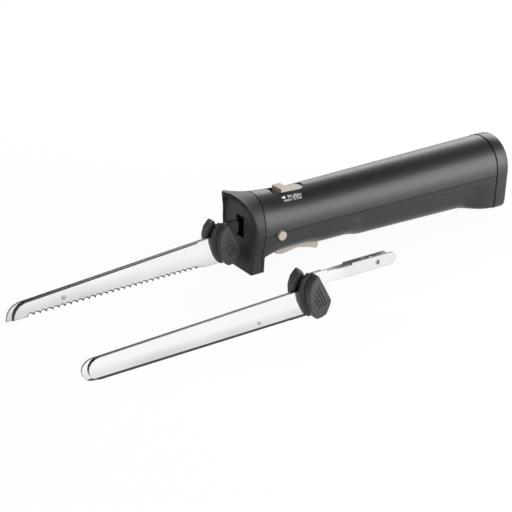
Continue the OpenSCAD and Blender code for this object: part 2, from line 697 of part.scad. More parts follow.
module wheel_axle() {
    color(steel) translate([wheel_x, 0, wheel_z]) rotate([90, 0, 0])
        cylinder(r = axle_r, h = 2 * (frame_y + frame_t) + frame_t / 2, center = true);
}

// Carriers: a tang socket in front and a yoke round the eccentric behind
carrier_x = 20;
carrier_in = 0.3;
carrier_out = 5.3;
tang_play = 0.25;
yoke_play = 0.35;
yoke_in = 2.6;
yoke_bar = 2.6;
yoke_tall = eccentric_r + crank_r + yoke_play;
yoke_low = eccentric_r;
latch_hole = 3;
module carrier(side) {
    shift = -side * crank_r * sin(crank_angle);
    half = eccentric_r + yoke_play;
    block_end = wheel_x - half - yoke_bar;
    pocket_y = tang_gap / 2 - blade_t / 2 - tang_play;
    wheel_room = wheel_r + tooth_module + 2 * crank_r;
    color(nylon) translate([shift, 0, 0]) scale([1, side, 1]) difference() {
        union() {
            translate([carrier_x, carrier_in, carrier_z - carrier_h / 2])
                cube([block_end - carrier_x + yoke_bar / 2, carrier_out - carrier_in, carrier_h]);
            translate([wheel_x - half - yoke_bar, yoke_in, wheel_z - yoke_low])
                cube([2 * (half + yoke_bar), carrier_out - yoke_in, yoke_low + yoke_tall + yoke_bar]);
        }
        translate([wheel_x - half, -over, wheel_z - yoke_low - over])
            cube([2 * half, carrier_out + 2 * over, yoke_low + over + yoke_tall]);
        translate([carrier_x - over, pocket_y, carrier_z - tang_h / 2 - tang_play])
            cube([tang_end + crank_r + 2 * over - carrier_x, blade_t + 2 * tang_play,
                tang_h + 2 * tang_play]);
        translate([latch_x - latch_hole, pocket_y, carrier_z - latch_hole / 2])
            cube([2 * latch_hole, carrier_out, latch_hole]);
        translate([wheel_x - wheel_room, -over, carrier_z - carrier_h])
            cube([2 * wheel_room, over + yoke_in, 2 * carrier_h]);
    }
}
module carrier_left() { carrier(-1); }
module carrier_right() { carrier(1); }

// Latch springs: a leaf on each carrier with a nose behind the tang hole
latch_x = 44;
leaf_t = 0.4;
leaf_len = 26;
latch_nose_r = 1.2;
module latch_spring(side) {
    shift = -side * crank_r * sin(crank_angle);
    nose_in = tang_gap / 2 + blade_t / 2 + tang_play / 2;
    color(steel) translate([shift, 0, 0]) scale([1, side, 1]) {
        translate([latch_x - leaf_len + 2 * latch_nose_r, carrier_out, carrier_z - tang_h / 2])
            cube([leaf_len, leaf_t, tang_h / 2 + 2 * latch_nose_r]);
        translate([latch_x, nose_in, carrier_z]) rotate([-90, 0, 0])
            cylinder(r = latch_nose_r, h = carrier_out - nose_in + leaf_t / 2);
    }
}
module latch_spring_left() { latch_spring(-1); }
module latch_spring_right() { latch_spring(1); }

// Release buttons: a cap in the flank, a flange inside it and a stem
stem_r = 2.4;
button_proud = 2.6;
flange_t = 1.4;
flange_out = 1.2;
stem_gap = 1;
button_draft = 0.4;
stem_rest = frame_y + frame_t + stem_gap;
function flank_y() = half_w(button_x);
module release_button(side) {
    out = flank_y() + button_proud;
    inside = flank_y() - 2 * wall;
    color(beige) translate([button_x, 0, button_z]) rotate([-90 * side, 0, 0]) {
        translate([0, 0, inside - flange_t / 2])
            cylinder(r1 = button_d / 2, r2 = button_d / 2 - button_draft, h = out - inside + flange_t / 2);
        translate([0, 0, inside - flange_t]) cylinder(r = button_d / 2 + flange_out, h = flange_t);
        translate([0, 0, stem_rest]) cylinder(r = stem_r, h = inside - stem_rest);
    }
}
module release_button_left() { release_button(-1); }
module release_button_right() { release_button(1); }

module button_spring(side) {
    base = frame_y + frame_t + slide_gap / 2;
    h = flank_y() - 2 * wall - flange_t - base - button_travel - slide_gap / 2;
    color(steel) translate([button_x, 0, button_z]) rotate([-90 * side, 0, 0])
        translate([0, 0, base]) coil(stem_r + 2 * spring_wire_r + slide_gap, spring_wire_r, h, 4);
}
module button_spring_left() { button_spring(-1); }
module button_spring_right() { button_spring(1); }

// Micro switch under the shelf of the frame, with a plunger over the trigger
switch_x = 52;
switch_len = 16;
switch_w = 6.4;
plunger_r = 1.2;
plunger_x = switch_x + switch_len / 4;
switch_gap = 4.4;
switch_low = trigger_top + switch_gap;
module micro_switch() {
    color(dark) difference() {
        translate([switch_x, -switch_w / 2, switch_low])
            cube([switch_len, switch_w, shelf_z - switch_low]);
        translate([plunger_x, 0, switch_low - over])
            cylinder(r = plunger_r + pin_gap, h = 3 * plunger_r + over);
    }
}
module switch_plunger() {
    low = trigger_top_z(plunger_x) + joint_gap;
    color(beige) translate([plunger_x, 0, low]) cylinder(r = plunger_r, h = switch_low + plunger_r - low);
}

trigger_spring_r = 2.2;
module trigger_spring() {
    color(steel) translate([pivot_x + 2.6 * trigger_nose_r, 0, trigger_low + 2 * trigger_wall + slide_gap])
        coil(trigger_spring_r, spring_wire_r, shelf_z - trigger_low - 2 * trigger_wall - 2 * slide_gap, 5);
}

// Battery: two cells in a cradle, with the charge board above them
cell_y = cell_r + slide_gap;
cell_z = 31;
holder_t = 1.6;
module battery_cells() {
    for (s = [-1, 1]) translate([cell_x, s * cell_y, cell_z]) rotate([0, 90, 0]) {
        color("steelblue") cylinder(r = cell_r, h = cell_len);
        color(steel) translate([0, 0, cell_len - pin_gap]) cylinder(r = cell_r / 3, h = holder_t);
    }
}
module battery_holder() {
    low = cell_z - cell_r - holder_t;
    color(dark) difference() {
        union() {
            translate([cell_x, -1.55 * cell_r, low])
                cube([cell_len, 3.1 * cell_r, 0.75 * cell_r + holder_t]);
            for (x = [cell_x - holder_t - joint_gap, cell_x + cell_len + holder_t + joint_gap])
                translate([x, -1.7 * cell_r, low]) cube([holder_t, 3.4 * cell_r, 2 * cell_r + 3 * holder_t]);
            translate([cell_x - holder_t - joint_gap, -1.2 * cell_r, low])
                cube([cell_len + 3 * holder_t + 2 * joint_gap, 2.4 * cell_r, holder_t / 2]);
            for (x = [cell_x + holder_t, cell_x + cell_len - 4 * holder_t], s = [-1, 1])
                translate([x, s * cell_y / 1.3 - holder_t, floor_z(x, cell_y) + wall + joint_gap])
                    cube([3 * holder_t, 2 * holder_t, low - floor_z(x, cell_y) - wall]);
        }
        for (s = [-1, 1]) translate([cell_x - holder_t, s * cell_y, cell_z]) rotate([0, 90, 0])
            cylinder(r = cell_r + joint_gap / 2, h = cell_len + 2 * holder_t + joint_gap);
    }
}
board_t = 1.6;
module charge_board() {
    z = cell_z + cell_r + 2 * holder_t;
    color(green) translate([cell_x - holder_t - joint_gap, -1.5 * cell_r, z])
        cube([cell_len + 3 * holder_t + 2 * joint_gap, 3 * cell_r, board_t]);
    color(dark) for (i = [0:2])
        translate([cell_x + (0.15 + 0.28 * i) * cell_len, -cell_r / 2, z + board_t - pin_gap])
            cube([cell_len / 8, cell_r, board_t]);
}
module charging_socket() {
    end = cap_x + joint_gap + cap_len;
    color(dark) translate([end - cap_len / 1.2, 0, socket_z]) rotate([0, 90, 0]) difference() {
        union() {
            cylinder(r = socket_r, h = cap_len / 1.2);
            cylinder(r = socket_r + socket_rim, h = cap_len / 1.2 - wall - joint_gap);
        }
        translate([0, 0, 2 * wall]) cylinder(r = socket_bore_r, h = cap_len);
    }
}

// Blades. Each is drawn in the X Z plane, with its flat inner side at y = 0
blade_gap = 0.3;
blade_low = 7.6;
tip_low = 5;
tip_x = -foot_len / 2 - blade_reach;
grip_x = -19;
tang_end = 60;
neck_in = -6;
rivet_r = 1.4;
rivet_back = 41;
rivet_x = tip_x + rivet_back;
stagger = 2 * crank_r * sin(crank_angle);
first_scallop = 12;
last_scallop = 22;
tip_round_shares = [[0, 0], [0.07, 0.34], [0.22, 0.62], [0.48, 0.86], [0.85, 1]];
function edge_z(x) = mix(tip_low, blade_low, (x - tip_x) / (grip_x - tip_x));
function scallops() = let (x1 = grip_x - last_scallop, x0 = tip_x + first_scallop,
    n = floor((x1 - x0) / tooth_pitch))
    [for (i = [0:n - 1], p = [[0, 0], [0.1, 0.7], [0.25, 0.97], [0.4, 1], [0.6, 0.8], [0.82, 0.4]])
        let (x = x0 + (i + p[0]) * tooth_pitch) [x, edge_z(x) + p[1] * tooth_depth]];
function toothed_outline() = concat(
    [for (p = tip_round_shares) [tip_x + p[0] * blade_tip_h, tip_low + p[1] * blade_tip_h * 1.05]],
    [[grip_x - grip_len / 2, blade_low + blade_h], [grip_x, carrier_z + tang_h / 2],
    [neck_in, carrier_z + tang_h / 2], [neck_in, carrier_z - tang_h / 2],
    [grip_x + grip_len / 3, blade_low + 0.3 * blade_h], [grip_x, blade_low]],
    [[grip_x - last_scallop, edge_z(grip_x - last_scallop)]], turned(scallops()),
    [[tip_x + first_scallop, edge_z(tip_x + first_scallop)]]);
plain_round_steps = 8;
function plain_outline() = let (r = plain_tip_h / 2, zc = blade_low + r) concat(
    [for (i = [0:plain_round_steps]) let (a = 270 - 180 * i / plain_round_steps)
        [tip_x + plain_start + r + r * cos(a), zc + r * sin(a)]],
    [[grip_x - grip_len / 2, blade_low + plain_h], [grip_x, carrier_z + tang_h / 2],
    [neck_in, carrier_z + tang_h / 2], [neck_in, carrier_z - tang_h / 2],
    [grip_x + grip_len / 3, blade_low + 0.3 * blade_h], [grip_x, blade_low]]);
plain_start = 1;
bevel_h = 5;
edge_t = 0.35;

// One blade of a pair, on the +y side, with its tang bent outward
bend_start = -2;
bend_end = 6;
tang_hole_r = 1.9;
module half_blade(outline, far_shift, rivet_at, slotted) {
    y_out = tang_gap / 2 + blade_t / 2;
    y_in = y_out - blade_t;
    bend = [[neck_in - 2 * over, blade_gap / 2], [bend_start, blade_gap / 2], [bend_end, y_in],
        [tang_end - far_shift, y_in], [tang_end - far_shift, y_out], [bend_end - blade_t / 4, y_out],
        [bend_start - blade_t / 4, blade_gap / 2 + blade_t], [neck_in - 2 * over, blade_gap / 2 + blade_t]];
    difference() {
        union() {
            difference() {
                translate([0, blade_gap / 2 + blade_t, 0]) rotate([90, 0, 0])
                    linear_extrude(blade_t) polygon(outline);
                bevel();
            }
            intersection() {
                translate([0, 0, carrier_z - tang_h / 2]) linear_extrude(tang_h) polygon(bend);
                tang_side(far_shift);
            }
        }
        translate([latch_x - stagger / 2, 0, carrier_z]) rotate([-90, 0, 0])
            cylinder(r = tang_hole_r, h = 2 * y_out);
        if (slotted) translate([rivet_at, 0, 0]) rivet_slot();
    }
}
// Hollow-ground edge: a wedge taken off the outer side
module bevel() {
    len = grip_x - grip_len - tip_x + 2 * over;
    translate([tip_x - over, blade_gap / 2, 0]) rotate([90, 0, 90]) linear_extrude(len)
        polygon([[edge_t, 0], [blade_t + over, 0], [blade_t + over, tip_low + bevel_h + over],
            [blade_t, tip_low + bevel_h + over]]);
}
module tang_side(far_shift) {
    end = tang_end - far_shift;
    translate([0, 2 * tang_gap, carrier_z]) rotate([90, 0, 0]) linear_extrude(4 * tang_gap) union() {
        translate([neck_in - 3 * over, -tang_h / 2])
            square([end - neck_in + 3 * over - tang_h / 2, tang_h * 0.86]);
        translate([bend_end + tang_h, -tang_h / 2])
            square([end - bend_end - 1.5 * tang_h, tang_h]);
        translate([end - tang_h / 2, 0]) circle(r = tang_h / 2);
    }
}
rivet_z = edge_z(rivet_x) + 0.62 * blade_tip_h;
module rivet_slot() {
    for (s = [-1, 1]) translate([s * 2 * crank_r, 0, rivet_z]) rotate([-90, 0, 0])
        cylinder(r = rivet_r + blade_gap / 2, h = 2 * blade_t + over);
    translate([-2 * crank_r, 0, rivet_z - rivet_r - blade_gap / 2])
        cube([4 * crank_r, 2 * blade_t + over, 2 * rivet_r + blade_gap]);
}
module rivet(at) {
    t = blade_gap / 2 + blade_t;
    head_t = 0.5;
    translate([at, -t - blade_t / 4, rivet_z]) rotate([-90, 0, 0]) {
        cylinder(r = rivet_r, h = 2 * t + blade_t / 4 + blade_gap / 2);
        translate([0, 0, 2 * t + blade_t / 4 + blade_gap / 2 - pin_gap])
            cylinder(r = rivet_r + 2 * blade_gap, h = head_t);
    }
}

near_shift = crank_r * sin(crank_angle);
module blade_left() {
    color(steel) translate([near_shift, 0, 0]) scale([1, -1, 1]) difference() {
        half_blade(toothed_outline(), 0, 0, false);
        translate([rivet_x, 0, rivet_z]) rotate([-90, 0, 0])
            cylinder(r = rivet_r, h = 2 * blade_t + over);
    }
}
module blade_right() {
    color(steel) translate([-near_shift, 0, 0])
        half_blade(toothed_outline(), 0, rivet_x, true);
}
module blade_rivet() { color(metal) translate([near_shift, 0, 0]) rivet(rivet_x); }

// Grips: a base plate on the blade, a neck and a pad with a slanted rear edge
pad_shares = [[0.36, 1], [0.3, 0.985], [0.1, 0.86], [0.0, 0.68], [0.02, 0.45], [0.12, 0.22], [0.28, 0.05],
    [0.4, 0], [0.62, 0.01], [0.8, 0.05], [0.95, 0.22], [1, 0.33], [0.98, 0.38], [0.42, 0.985]];
pad_x = -29.5;
base_back = 3;
base_t = 2;
pad_t = 7;
pad_edge = 0.8;
grip_low = blade_low;
groove_w = 1;
groove_d = 0.7;
function pad_outline(d, back) = [for (p = pad_shares)
    [mix(pad_x + d - back, pad_x + grip_len - d - back, p[0]),
        grip_low + mix(d, grip_h - d, p[1])]];
module slab(y, t, d, back) {
    translate([0, y + t, 0]) rotate([90, 0, 0]) linear_extrude(t) polygon(pad_outline(d, back));
}
module blade_grip() {
    y0 = blade_gap / 2 + blade_t + pin_gap;
    neck_y = y0 + base_t;
    pad_y = y0 + grip_out - pad_t;
    lean = atan2(grip_len * 0.56, grip_h * 0.605);
    difference() {
        union() {
            slab(y0, base_t, 0, base_back);
            hull() {
                slab(neck_y - pin_gap, pin_gap, pad_edge, base_back);
                slab(pad_y, pin_gap, 0, 0);
            }
            slab(pad_y, pad_t - pad_edge, 0, 0);
            hull() {
                slab(pad_y + pad_t - pad_edge - pin_gap, pin_gap, 0, 0);
                slab(pad_y + pad_t - pin_gap, pin_gap, pad_edge, 0);
            }
        }
        for (i = [0:3]) translate([pad_x + grip_len * (0.36 - 0.04 * i), y0 + grip_out,
            grip_low + grip_h * (0.76 - 0.09 * i)]) rotate([0, 90 - lean, 0])
            translate([0, -groove_d, -groove_w / 2])
                cube([grip_h * (0.5 - 0.07 * i), 2 * groove_d, groove_w]);
    }
}
module blade_grip_left() { color(dark) translate([near_shift, 0, 0]) scale([1, -1, 1]) blade_grip(); }
module blade_grip_right() { color(dark) translate([-near_shift, 0, 0]) blade_grip(); }

// The second pair stands on its edges beside the fitted pair
spare_x = 15.5;
spare_turn = -0.6;
spare_rivet_x = grip_x - grip_len - 1.2 * plain_h;
module spare_place() {
    translate([spare_x, -spare_offset, -blade_low]) rotate([0, 0, spare_turn]) children();
}
module spare_blade_left() {
    color(steel) spare_place() scale([1, -1, 1]) difference() {
        half_blade(plain_outline(), 0, 0, false);
        translate([spare_rivet_x, 0, rivet_z]) rotate([-90, 0, 0])
            cylinder(r = rivet_r, h = 2 * blade_t + over);
    }
}
module spare_blade_right() {
    color(steel) spare_place() translate([-stagger, 0, 0])
        half_blade(plain_outline(), 0, spare_rivet_x, true);
}
module spare_grip_left() { color(dark) spare_place() scale([1, -1, 1]) blade_grip(); }
module spare_grip_right() { color(dark) spare_place() translate([-stagger, 0, 0]) blade_grip(); }
module spare_rivet() { color(metal) spare_place() rivet(spare_rivet_x); }

guard();
upper_housing();
lower_housing();
rear_cap();
housing_screws();
safety_slider();
slider_spring();
trigger();
trigger_pin();
trigger_spring();
release_button_left();
release_button_right();
button_spring_left();
button_spring_right();
gear_frame();
worm_bush();
motor_can();
motor_rotor();
worm();
worm_wheel();
wheel_axle();
carrier_left();
carrier_right();
latch_spring_left();
latch_spring_right();
micro_switch();
switch_plunger();
battery_cells();
battery_holder();
charge_board();
charging_socket();
blade_left();
blade_right();
blade_grip_left();
blade_grip_right();
blade_rivet();
spare_blade_left();
spare_blade_right();
spare_grip_left();
spare_grip_right();
spare_rivet();
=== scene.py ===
import math

import bmesh
import bpy
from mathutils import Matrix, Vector
from mathutils.bvhtree import BVHTree


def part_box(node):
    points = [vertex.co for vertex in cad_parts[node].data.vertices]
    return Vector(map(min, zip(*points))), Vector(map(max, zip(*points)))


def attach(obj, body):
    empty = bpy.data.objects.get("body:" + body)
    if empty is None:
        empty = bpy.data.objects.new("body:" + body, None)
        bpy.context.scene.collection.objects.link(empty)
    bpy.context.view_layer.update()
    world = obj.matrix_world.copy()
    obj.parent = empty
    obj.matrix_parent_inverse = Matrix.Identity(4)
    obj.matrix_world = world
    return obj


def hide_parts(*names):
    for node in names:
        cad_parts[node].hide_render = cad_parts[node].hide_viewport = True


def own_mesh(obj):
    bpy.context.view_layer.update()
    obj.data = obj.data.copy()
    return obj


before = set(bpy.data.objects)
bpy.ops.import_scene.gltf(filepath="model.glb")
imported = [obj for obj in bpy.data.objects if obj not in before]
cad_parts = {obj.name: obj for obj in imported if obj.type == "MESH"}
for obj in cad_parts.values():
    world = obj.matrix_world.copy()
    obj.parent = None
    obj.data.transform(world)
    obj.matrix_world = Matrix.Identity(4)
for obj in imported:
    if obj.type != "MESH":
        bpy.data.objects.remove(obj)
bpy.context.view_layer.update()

# The knife lies on a plain pale table top, seen from the front left of its
# blades and from above, as a product on a studio table.
VIEW_FROM = (-0.4012, -0.6270, 0.3421)
VIEW_HEADING = math.radians(33.6)
VIEW_DROP = math.radians(24.2)
sight = bpy.data.cameras.new("product_view")
sight.sensor_width = 36.0
sight.lens = 68.2
sight.clip_start = 0.01
viewer = bpy.data.objects.new("product_view", sight)
viewer.location = VIEW_FROM
viewer.rotation_euler = (math.radians(90) - VIEW_DROP, 0, -VIEW_HEADING)
bpy.context.scene.collection.objects.link(viewer)
bpy.context.scene.camera = viewer
bpy.context.scene.view_settings.view_transform = "Standard"


def new_node(tree, kind, at, **inputs):
    """One shader node at a place on the sheet, with its inputs set by name."""
    node = tree.nodes.new("ShaderNode" + kind)
    node.location = at
    for name, value in inputs.items():
        node.inputs[name.replace("_", " ")].default_value = value
    return node


def blank_material(name):
    """A material with nothing on its sheet but the output."""
    material = bpy.data.materials.new(name)
    material.use_nodes = True
    tree = material.node_tree
    tree.nodes.clear()
    out = new_node(tree, "OutputMaterial", (500, 0))
    return material, tree, out


LAMINATE = (0.94, 0.94, 0.94, 1)
PLAIN_WHITE_SHARE = 0.93
TABLE_REACH = 3.0


def table_top():
    """Matt pale laminate that keeps the shadows and stays near white in view."""
    material, tree, out = blank_material("pale_table")
    matt = new_node(tree, "BsdfDiffuse", (0, 100), Color=LAMINATE)
    glow = new_node(tree, "Emission", (0, -60), Color=(1, 1, 1, 1), Strength=1.0)
    path = new_node(tree, "LightPath", (-600, 200))
    either = new_node(tree, "Math", (-400, 200))
    either.operation = "MAXIMUM"
    share = new_node(tree, "Math", (-200, 200))
    share.operation = "MULTIPLY"
    share.inputs[1].default_value = PLAIN_WHITE_SHARE
    blend = new_node(tree, "MixShader", (250, 0))
    tree.links.new(path.outputs["Is Camera Ray"], either.inputs[0])
    tree.links.new(path.outputs["Is Glossy Ray"], either.inputs[1])
    tree.links.new(either.outputs[0], share.inputs[0])
    tree.links.new(share.outputs[0], blend.inputs[0])
    tree.links.new(matt.outputs[0], blend.inputs[1])
    tree.links.new(glow.outputs[0], blend.inputs[2])
    tree.links.new(blend.outputs[0], out.inputs[0])
    mesh = bpy.data.meshes.new("table_top")
    corners = [(x * TABLE_REACH, y * TABLE_REACH, 0)
               for x, y in ((-1, -1), (1, -1), (1, 1), (-1, 1))]
    mesh.from_pydata(corners, [], [(0, 1, 2, 3)])
    table = bpy.data.objects.new("table_top", mesh)
    bpy.context.scene.collection.objects.link(table)
    mesh.materials.append(material)


table_top()

# Soft light: a pale room that is darker overhead in reflections. A long panel at
# the front right draws the broad band along the handle, one behind lights its top
# line, a weak card on the table its lower flank, and a small one the guard.
ROOM_LEVEL = 0.42
HORIZON_LEVEL = 0.9
CEILING_LEVEL = 0.1
room = bpy.data.worlds.new("pale_room")
room.use_nodes = True
walls = room.node_tree
walls.nodes.clear()
heading = new_node(walls, "TexCoord", (-1000, -200))
height = new_node(walls, "SeparateXYZ", (-800, -200))
ceiling = new_node(walls, "MapRange", (-600, -200), From_Min=0.1, From_Max=0.7,
                   To_Min=HORIZON_LEVEL, To_Max=CEILING_LEVEL)
ceiling.interpolation_type = "SMOOTHSTEP"
seen = new_node(walls, "LightPath", (-800, 200))
mirrored = new_node(walls, "MapRange", (-400, -100), To_Min=ROOM_LEVEL)
either = new_node(walls, "Math", (-400, 200))
either.operation = "MAXIMUM"
level = new_node(walls, "MapRange", (-200, 0), To_Max=1.0)
glow = new_node(walls, "Background", (0, 0), Color=(1, 1, 1, 1))
sky = new_node(walls, "OutputWorld", (200, 0))
walls.links.new(heading.outputs["Generated"], height.inputs[0])
walls.links.new(height.outputs["Z"], ceiling.inputs["Value"])
walls.links.new(seen.outputs["Is Glossy Ray"], mirrored.inputs["Value"])
walls.links.new(ceiling.outputs[0], mirrored.inputs["To Max"])
walls.links.new(seen.outputs["Is Camera Ray"], either.inputs[0])
walls.links.new(seen.outputs["Is Transmission Ray"], either.inputs[1])
walls.links.new(either.outputs[0], level.inputs["Value"])
walls.links.new(mirrored.outputs[0], level.inputs["To Min"])
walls.links.new(level.outputs[0], glow.inputs["Strength"])
walls.links.new(glow.outputs[0], sky.inputs[0])
bpy.context.scene.world = room


def soft_panel(name, place, aim, size, power, mirrored=True):
    """A rectangular lamp that turns its face from place towards aim."""
    lamp = bpy.data.lights.new(name, "AREA")
    lamp.shape = "RECTANGLE"
    lamp.size, lamp.size_y = size
    lamp.energy = power
    panel = bpy.data.objects.new(name, lamp)
    panel.location = place
    panel.rotation_euler = (Vector(aim) - Vector(place)).to_track_quat("-Z", "Y").to_euler()
    panel.visible_camera = False
    panel.visible_glossy = mirrored
    bpy.context.scene.collection.objects.link(panel)


soft_panel("front_panel", (0.95, -1.3, 0.46), (0.12, 0, 0.16), size=(2.0, 0.88), power=36)
soft_panel("rear_panel", (0.95, 1.05, 0.78), (0.12, 0, 0.05), size=(2.0, 0.6), power=17)
soft_panel("table_card", (0.29, -0.27, 0.002), (0.29, -0.27, 1), size=(0.5, 0.2), power=0.9)
soft_panel("left_panel", (-1.1, -0.6, 0.8), (0, 0, 0.03), size=(0.8, 0.8), power=3,
           mirrored=False)


# Handle mouldings: two long shells of satin black plastic that meet on one
# line, and a cup over the rear end. All are injection moulded.
def moulded_grain():
    """Moulded plastic: fine grain, faint flow clouds and handling sheen."""
    group = bpy.data.node_groups.new("moulded_grain", "ShaderNodeTree")
    face = group.interface
    for name, kind, value in (("Colour", "NodeSocketColor", (0.1, 0.1, 0.1, 1)),
                              ("Clouding", "NodeSocketFloat", 0.1),
                              ("Roughness", "NodeSocketFloat", 0.4),
                              ("Sheen patches", "NodeSocketFloat", 0.05),
                              ("Grain size", "NodeSocketFloat", 2500.0),
                              ("Grain depth", "NodeSocketFloat", 0.05)):
        socket = face.new_socket(name, in_out="INPUT", socket_type=kind)
        socket.default_value = value
    face.new_socket("Colour", in_out="OUTPUT", socket_type="NodeSocketColor")
    face.new_socket("Roughness", in_out="OUTPUT", socket_type="NodeSocketFloat")
    face.new_socket("Height", in_out="OUTPUT", socket_type="NodeSocketFloat")
    given = group.nodes.new("NodeGroupInput")
    given.location = (-900, 0)
    put = group.nodes.new("NodeGroupOutput")
    put.location = (500, 0)
    place = new_node(group, "TexCoord", (-900, 400))
    clouds = new_node(group, "TexNoise", (-600, 400), Scale=22.0, Detail=4.0)
    swing = new_node(group, "MapRange", (-400, 400), From_Min=0.3, From_Max=0.7,
                     To_Min=-1.0, To_Max=1.0)
    shade = new_node(group, "Math", (-200, 400))
    shade.operation = "MULTIPLY_ADD"
    shade.inputs[2].default_value = 1.0
    tint = new_node(group, "VectorMath", (0, 300))
    tint.operation = "SCALE"
    patches = new_node(group, "TexNoise", (-600, 100), Scale=60.0, Detail=6.0)
    wear_and_edge_shade = new_node(group, "MapRange", (-400, 100), To_Min=-1.0, To_Max=1.0)
    rough = new_node(group, "Math", (0, 100))
    rough.operation = "MULTIPLY_ADD"
    grain = new_node(group, "TexNoise", (-600, -200), Detail=2.0)
    height = new_node(group, "Math", (0, -200))
    height.operation = "MULTIPLY"
    link = group.links.new
    link(place.outputs["Object"], clouds.inputs["Vector"])
    link(place.outputs["Object"], patches.inputs["Vector"])
    link(place.outputs["Object"], grain.inputs["Vector"])
    link(given.outputs["Grain size"], grain.inputs["Scale"])
    link(clouds.outputs["Fac"], swing.inputs["Value"])
    link(swing.outputs[0], shade.inputs[0])
    link(given.outputs["Clouding"], shade.inputs[1])
    link(given.outputs["Colour"], tint.inputs[0])
    link(shade.outputs[0], tint.inputs["Scale"])
    link(patches.outputs["Fac"], wear_and_edge_shade.inputs["Value"])
    link(wear_and_edge_shade.outputs[0], rough.inputs[0])
    link(given.outputs["Sheen patches"], rough.inputs[1])
    link(given.outputs["Roughness"], rough.inputs[2])
    link(grain.outputs["Fac"], height.inputs[0])
    link(given.outputs["Grain depth"], height.inputs[1])
    link(tint.outputs[0], put.inputs["Colour"])
    link(rough.outputs[0], put.inputs["Roughness"])
    link(height.outputs[0], put.inputs["Height"])
    return group


grain_group = moulded_grain()


def placed_group(tree, group, at, **inputs):
    """A shared effect placed on a material's sheet with its own values."""
    node = tree.nodes.new("ShaderNodeGroup")
    node.node_tree = group
    node.location = at
    for name, value in inputs.items():
        node.inputs[name.replace("_", " ")].default_value = value
    return node


def moulded_plastic(name, colour, roughness, clouding, patches, grain, depth, coat=0.0,
                    specular=0.5):
    """Plastic with grain dots per metre and a bump of the given depth; coat is a soft sheen."""
    material, tree, out = blank_material(name)
    skin = new_node(tree, "BsdfPrincipled", (200, 0), IOR=1.5, Coat_Weight=coat,
                    Coat_Roughness=0.6, Specular_IOR_Level=specular)
    look = placed_group(tree, grain_group, (-300, 0), Colour=(*colour, 1), Clouding=clouding,
                        Roughness=roughness, Sheen_patches=patches, Grain_size=grain,
                        Grain_depth=depth)
    bump = new_node(tree, "Bump", (-50, -250), Strength=1.0, Distance=0.0002)
    tree.links.new(look.outputs["Colour"], skin.inputs["Base Color"])
    tree.links.new(look.outputs["Roughness"], skin.inputs["Roughness"])
    tree.links.new(look.outputs["Height"], bump.inputs["Height"])
    tree.links.new(bump.outputs[0], skin.inputs["Normal"])
    tree.links.new(skin.outputs[0], out.inputs[0])
    return material


WELD_REACH = 4e-5


def soft_shading():
    """Shades a moulded or ground piece smooth up to its real edges."""
    group = bpy.data.node_groups.new("soft_shading", "GeometryNodeTree")
    face = group.interface
    face.new_socket("Geometry", in_out="INPUT", socket_type="NodeSocketGeometry")
    limit = face.new_socket("Sharp from", in_out="INPUT", socket_type="NodeSocketFloat")
    face.new_socket("Geometry", in_out="OUTPUT", socket_type="NodeSocketGeometry")
    steps = [group.nodes.new(kind) for kind in (
        "NodeGroupInput", "GeometryNodeMergeByDistance", "GeometryNodeSetShadeSmooth",
        "GeometryNodeSetShadeSmooth", "NodeGroupOutput")]
    for i, step in enumerate(steps):
        step.location = (200 * i, 0)
    given, weld, rounded, creased, put = steps
    weld.inputs["Distance"].default_value = WELD_REACH
    creased.domain = "EDGE"
    creased.inputs["Shade Smooth"].default_value = False
    turn = group.nodes.new("GeometryNodeInputMeshEdgeAngle")
    turn.location = (200, -250)
    sharp = group.nodes.new("FunctionNodeCompare")
    sharp.location = (400, -250)
    link = group.links.new
    link(given.outputs["Geometry"], weld.inputs["Geometry"])
    link(weld.outputs[0], rounded.inputs["Geometry"])
    link(rounded.outputs[0], creased.inputs["Geometry"])
    link(creased.outputs[0], put.inputs["Geometry"])
    link(turn.outputs["Unsigned Angle"], sharp.inputs["A"])
    link(given.outputs["Sharp from"], sharp.inputs["B"])
    link(sharp.outputs[0], creased.inputs["Selection"])
    return group, limit.identifier


shading_group, sharp_limit = soft_shading()


def dress(material, sharp_from, *nodes, rounding=0.0):
    """Puts a finish on CAD nodes; sharp_from is the angle of their real edges in degrees
    and rounding the radius that the mould leaves on them."""
    for name in nodes:
        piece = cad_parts[name]
        for slot in piece.material_slots:
            slot.material = material
        smooth = piece.modifiers.new("soft_shading", "NODES")
        smooth.node_group = shading_group
        smooth[sharp_limit] = math.radians(sharp_from)
        if rounding:
            soften = piece.modifiers.new("mould_rounding", "BEVEL")
            soften.width = rounding
            soften.segments = 2
            soften.limit_method = "ANGLE"
            soften.angle_limit = math.radians(sharp_from)
            soften.harden_normals = True


satin_black = moulded_plastic("satin_black", (0.006, 0.006, 0.0068), roughness=0.33,
                              clouding=0.08, patches=0.03, grain=2600, depth=0.05,
                              coat=0.42, specular=0.27)
dress(satin_black, 38, "upper_housing", "lower_housing", "rear_cap")

# Guard: one moulding of slightly rougher dark plastic with a hooded lip and
# a foot, screwed against the front of the shells.
matt_dark = moulded_plastic("matt_dark", (0.014, 0.014, 0.015), roughness=0.46, clouding=0.08,
                            patches=0.03, grain=1800, depth=0.09, specular=0.3)
dress(matt_dark, 33, "guard")

